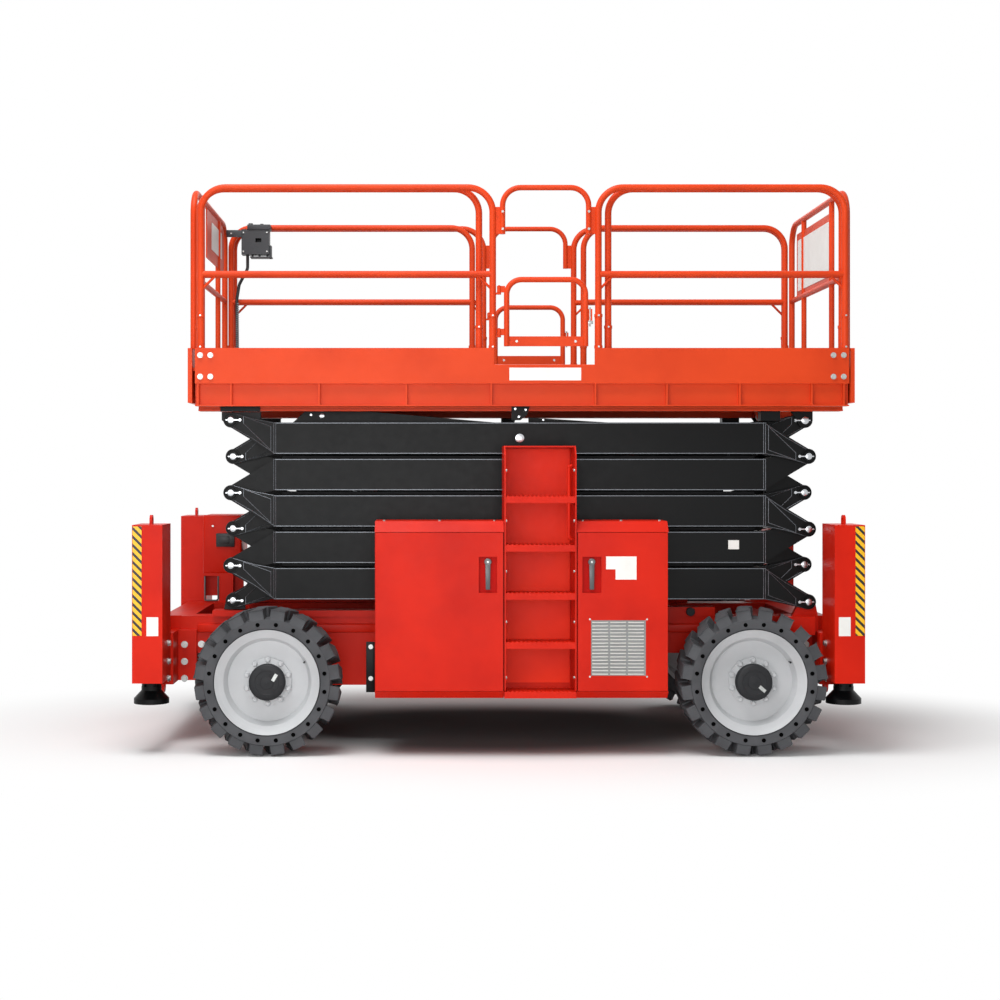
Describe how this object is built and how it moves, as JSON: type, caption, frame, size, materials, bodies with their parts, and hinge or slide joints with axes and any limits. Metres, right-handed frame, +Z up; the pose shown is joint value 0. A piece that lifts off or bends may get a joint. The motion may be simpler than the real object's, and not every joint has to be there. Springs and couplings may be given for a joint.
{
  "type": "rough-terrain scissor lift",
  "caption": "Four-wheel scissor lift with stacked crossed arms, corner outriggers, side cabinets, boarding ladders and a railed platform with a roll-out deck at each end.",
  "frame": {"origin": "middle of the machine's length and width, on the ground", "axes": "+X along the machine towards the fixed-axle end, +Y across it, +Z up"},
  "size_m": [4.372, 2.3, 3.4385],
  "materials": {
    "platform_orange": "satin orange-red paint",
    "chassis_red": "semi-gloss red paint",
    "arm_black": "satin black paint",
    "rim_silver": "satin silver paint",
    "tyre": "matt rubber",
    "steel": "bright steel",
    "box_grey": "textured",
    "engine_grey": "painted casting"
  },
  "bodies": {
    "chassis": {"chassis_frame": "chassis_red", "front_axle": "arm_black", "rear_axle": "arm_black", "tie_down_lugs": "chassis_red", "outrigger_boxes": "chassis_red", "boarding_ladders": "chassis_red", "valve_cabinet": "chassis_red", "engine_block": "engine_grey", "hydraulic_tank": "chassis_red", "cabinets_near": "chassis_red", "cabinets_far": "chassis_red"},
    "outer_arms_1": {"outer_arms_1": "arm_black"},
    "outer_arms_2": {"outer_arms_2": "arm_black"},
    "outer_arms_3": {"outer_arms_3": "arm_black"},
    "outer_arms_4": {"outer_arms_4": "arm_black"},
    "outer_arms_5": {"outer_arms_5": "arm_black"},
    "inner_arms_1": {"inner_arms_1": "arm_black"},
    "inner_arms_2": {"inner_arms_2": "arm_black"},
    "inner_arms_3": {"inner_arms_3": "arm_black"},
    "inner_arms_4": {"inner_arms_4": "arm_black"},
    "inner_arms_5": {"inner_arms_5": "arm_black"},
    "lower_slide_shoes": {"lower_slide_shoes": "arm_black"},
    "upper_slide_shoes": {"upper_slide_shoes": "arm_black"},
    "platform": {"main_deck": "platform_orange", "main_rails": "platform_orange"},
    "lower_cylinder_barrel": {"lower_cylinder_barrel": "arm_black"},
    "lower_cylinder_rod": {"lower_cylinder_rod": "steel"},
    "upper_cylinder_barrel": {"upper_cylinder_barrel": "arm_black"},
    "upper_cylinder_rod": {"upper_cylinder_rod": "steel"},
    "gate_near": {"gate_near": "platform_orange"},
    "gate_far": {"gate_far": "platform_orange"},
    "left_rollout": {"rollout_deck_left": "platform_orange", "control_box": "box_grey", "control_cable": "box_grey"},
    "right_rollout": {"rollout_deck_right": "platform_orange"},
    "door_near_left": {"door_near_left": "chassis_red"},
    "door_near_right": {"door_near_right": "chassis_red"},
    "door_far_left": {"door_far_left": "chassis_red"},
    "door_far_right": {"door_far_right": "chassis_red"},
    "outrigger_leg_front_near": {"outrigger_leg_front_near": "chassis_red"},
    "outrigger_leg_front_far": {"outrigger_leg_front_far": "chassis_red"},
    "outrigger_leg_rear_near": {"outrigger_leg_rear_near": "chassis_red"},
    "outrigger_leg_rear_far": {"outrigger_leg_rear_far": "chassis_red"},
    "knuckle_near": {"knuckle_near": "arm_black"},
    "wheel_front_near": {"tyre_front_near": "tyre", "rim_front_near": "rim_silver"},
    "wheel_rear_near": {"tyre_rear_near": "tyre", "rim_rear_near": "rim_silver"},
    "knuckle_far": {"knuckle_far": "arm_black"},
    "wheel_front_far": {"tyre_front_far": "tyre", "rim_front_far": "rim_silver"},
    "wheel_rear_far": {"tyre_rear_far": "tyre", "rim_rear_far": "rim_silver"}
  },
  "joints": [
    {"name": "lift", "type": "hinge", "parent": "chassis", "child": "outer_arms_1", "pos_m": [1.924, 0, 0.89], "axis": [0, 1, 0], "range_deg": [0, 52.5]},
    {"name": "outer_pin_1", "type": "hinge", "parent": "outer_arms_1", "child": "outer_arms_2", "pos_m": [-1.63195, 0, 1.114], "axis": [0, 1, 0], "range_deg": [-105, 0]},
    {"name": "outer_pin_2", "type": "hinge", "parent": "outer_arms_2", "child": "outer_arms_3", "pos_m": [1.924, 0, 1.338], "axis": [0, 1, 0], "range_deg": [0, 105]},
    {"name": "outer_pin_3", "type": "hinge", "parent": "outer_arms_3", "child": "outer_arms_4", "pos_m": [-1.63195, 0, 1.562], "axis": [0, 1, 0], "range_deg": [-105, 0]},
    {"name": "outer_pin_4", "type": "hinge", "parent": "outer_arms_4", "child": "outer_arms_5", "pos_m": [1.924, 0, 1.786], "axis": [0, 1, 0], "range_deg": [0, 105]},
    {"name": "centre_pin_1", "type": "hinge", "parent": "outer_arms_1", "child": "inner_arms_1", "pos_m": [0.14602, 0, 1.002], "axis": [0, 1, 0], "range_deg": [-105, 0]},
    {"name": "centre_pin_2", "type": "hinge", "parent": "outer_arms_2", "child": "inner_arms_2", "pos_m": [0.14602, 0, 1.226], "axis": [0, 1, 0], "range_deg": [0, 105]},
    {"name": "centre_pin_3", "type": "hinge", "parent": "outer_arms_3", "child": "inner_arms_3", "pos_m": [0.14602, 0, 1.45], "axis": [0, 1, 0], "range_deg": [-105, 0]},
    {"name": "centre_pin_4", "type": "hinge", "parent": "outer_arms_4", "child": "inner_arms_4", "pos_m": [0.14602, 0, 1.674], "axis": [0, 1, 0], "range_deg": [0, 105]},
    {"name": "centre_pin_5", "type": "hinge", "parent": "outer_arms_5", "child": "inner_arms_5", "pos_m": [0.14602, 0, 1.898], "axis": [0, 1, 0], "range_deg": [-105, 0]},
    {"name": "lower_shoe_pin", "type": "hinge", "parent": "inner_arms_1", "child": "lower_slide_shoes", "pos_m": [-1.63195, 0, 0.89], "axis": [0, 1, 0], "range_deg": [0, 52.5]},
    {"name": "upper_shoe_pin", "type": "hinge", "parent": "outer_arms_5", "child": "upper_slide_shoes", "pos_m": [-1.63195, 0, 2.01], "axis": [0, 1, 0], "range_deg": [-52.5, 0]},
    {"name": "platform_pin", "type": "hinge", "parent": "inner_arms_5", "child": "platform", "pos_m": [1.924, 0, 2.01], "axis": [0, 1, 0], "range_deg": [0, 52.5]},
    {"name": "lower_cylinder_pin", "type": "hinge", "parent": "inner_arms_2", "child": "lower_cylinder_barrel", "pos_m": [1.213, 0, 1.226], "axis": [0, 1, 0], "range_deg": [0, 1.1]},
    {"name": "lower_cylinder_stroke", "type": "slide", "parent": "lower_cylinder_barrel", "child": "lower_cylinder_rod", "axis": [-0.9875, 0, 0.1576], "range_m": [0, 0.9635]},
    {"name": "upper_cylinder_pin", "type": "hinge", "parent": "inner_arms_4", "child": "upper_cylinder_barrel", "pos_m": [1.213, 0, 1.674], "axis": [0, 1, 0], "range_deg": [0, 1.1]},
    {"name": "upper_cylinder_stroke", "type": "slide", "parent": "upper_cylinder_barrel", "child": "upper_cylinder_rod", "axis": [-0.9875, 0, 0.1576], "range_m": [0, 0.9635]},
    {"name": "gate_near_hinge", "type": "hinge", "parent": "platform", "child": "gate_near", "pos_m": [0.014, -0.887, 2.5], "axis": [0, 0, 1], "range_deg": [0, 90]},
    {"name": "gate_far_hinge", "type": "hinge", "parent": "platform", "child": "gate_far", "pos_m": [0.014, 0.887, 2.5], "axis": [0, 0, -1], "range_deg": [0, 90]},
    {"name": "left_rollout_slide", "type": "slide", "parent": "platform", "child": "left_rollout", "axis": [-1, 0, 0], "range_m": [0, 1.5]},
    {"name": "right_rollout_slide", "type": "slide", "parent": "platform", "child": "right_rollout", "axis": [1, 0, 0], "range_m": [0, 1.2]},
    {"name": "door_near_left_hinge", "type": "hinge", "parent": "chassis", "child": "door_near_left", "pos_m": [-0.731, -1.15, 0.86], "axis": [0, 0, -1], "range_deg": [0, 95]},
    {"name": "door_near_right_hinge", "type": "hinge", "parent": "chassis", "child": "door_near_right", "pos_m": [1.005, -1.15, 0.86], "axis": [0, 0, 1], "range_deg": [0, 95]},
    {"name": "door_far_left_hinge", "type": "hinge", "parent": "chassis", "child": "door_far_left", "pos_m": [-0.731, 1.15, 0.86], "axis": [0, 0, 1], "range_deg": [0, 95]},
    {"name": "door_far_right_hinge", "type": "hinge", "parent": "chassis", "child": "door_far_right", "pos_m": [1.005, 1.15, 0.86], "axis": [0, 0, -1], "range_deg": [0, 95]},
    {"name": "outrigger_leg_front_near_slide", "type": "slide", "parent": "chassis", "child": "outrigger_leg_front_near", "axis": [0, 0, -1], "range_m": [0, 0.45]},
    {"name": "outrigger_leg_front_far_slide", "type": "slide", "parent": "chassis", "child": "outrigger_leg_front_far", "axis": [0, 0, -1], "range_m": [0, 0.45]},
    {"name": "outrigger_leg_rear_near_slide", "type": "slide", "parent": "chassis", "child": "outrigger_leg_rear_near", "axis": [0, 0, -1], "range_m": [0, 0.45]},
    {"name": "outrigger_leg_rear_far_slide", "type": "slide", "parent": "chassis", "child": "outrigger_leg_rear_far", "axis": [0, 0, -1], "range_m": [0, 0.45]},
    {"name": "steer_near", "type": "hinge", "parent": "chassis", "child": "knuckle_near", "pos_m": [-1.373, -0.815, 0.442], "axis": [0, 0, 1], "range_deg": [-30, 30]},
    {"name": "wheel_front_near_spin", "type": "hinge", "parent": "knuckle_near", "child": "wheel_front_near", "pos_m": [-1.373, -1, 0.442], "axis": [0, 1, 0], "continuous": true},
    {"name": "wheel_rear_near_spin", "type": "hinge", "parent": "chassis", "child": "wheel_rear_near", "pos_m": [1.517, -1, 0.442], "axis": [0, 1, 0], "continuous": true},
    {"name": "steer_far", "type": "hinge", "parent": "chassis", "child": "knuckle_far", "pos_m": [-1.373, 0.815, 0.442], "axis": [0, 0, 1], "range_deg": [-30, 30]},
    {"name": "wheel_front_far_spin", "type": "hinge", "parent": "knuckle_far", "child": "wheel_front_far", "pos_m": [-1.373, 1, 0.442], "axis": [0, 1, 0], "continuous": true},
    {"name": "wheel_rear_far_spin", "type": "hinge", "parent": "chassis", "child": "wheel_rear_far", "pos_m": [1.517, 1, 0.442], "axis": [0, 1, 0], "continuous": true}
  ],
  "couplings": [
    {"joint": "outer_pin_1", "follows": "lift", "ratio": -2},
    {"joint": "outer_pin_2", "follows": "lift", "ratio": 2},
    {"joint": "outer_pin_3", "follows": "lift", "ratio": -2},
    {"joint": "outer_pin_4", "follows": "lift", "ratio": 2},
    {"joint": "centre_pin_1", "follows": "lift", "ratio": -2},
    {"joint": "centre_pin_2", "follows": "lift", "ratio": 2},
    {"joint": "centre_pin_3", "follows": "lift", "ratio": -2},
    {"joint": "centre_pin_4", "follows": "lift", "ratio": 2},
    {"joint": "centre_pin_5", "follows": "lift", "ratio": -2},
    {"joint": "lower_shoe_pin", "follows": "lift", "ratio": 1},
    {"joint": "upper_shoe_pin", "follows": "lift", "ratio": -1},
    {"joint": "platform_pin", "follows": "lift", "ratio": 1},
    {"joint": "lower_cylinder_pin", "follows": "lift", "ratio": 0.020784},
    {"joint": "lower_cylinder_stroke", "follows": "lift", "m_per_rad": 1.0506},
    {"joint": "upper_cylinder_pin", "follows": "lift", "ratio": 0.020784},
    {"joint": "upper_cylinder_stroke", "follows": "lift", "m_per_rad": 1.0506},
    {"joint": "steer_far", "follows": "steer_near", "ratio": 1}
  ]
}
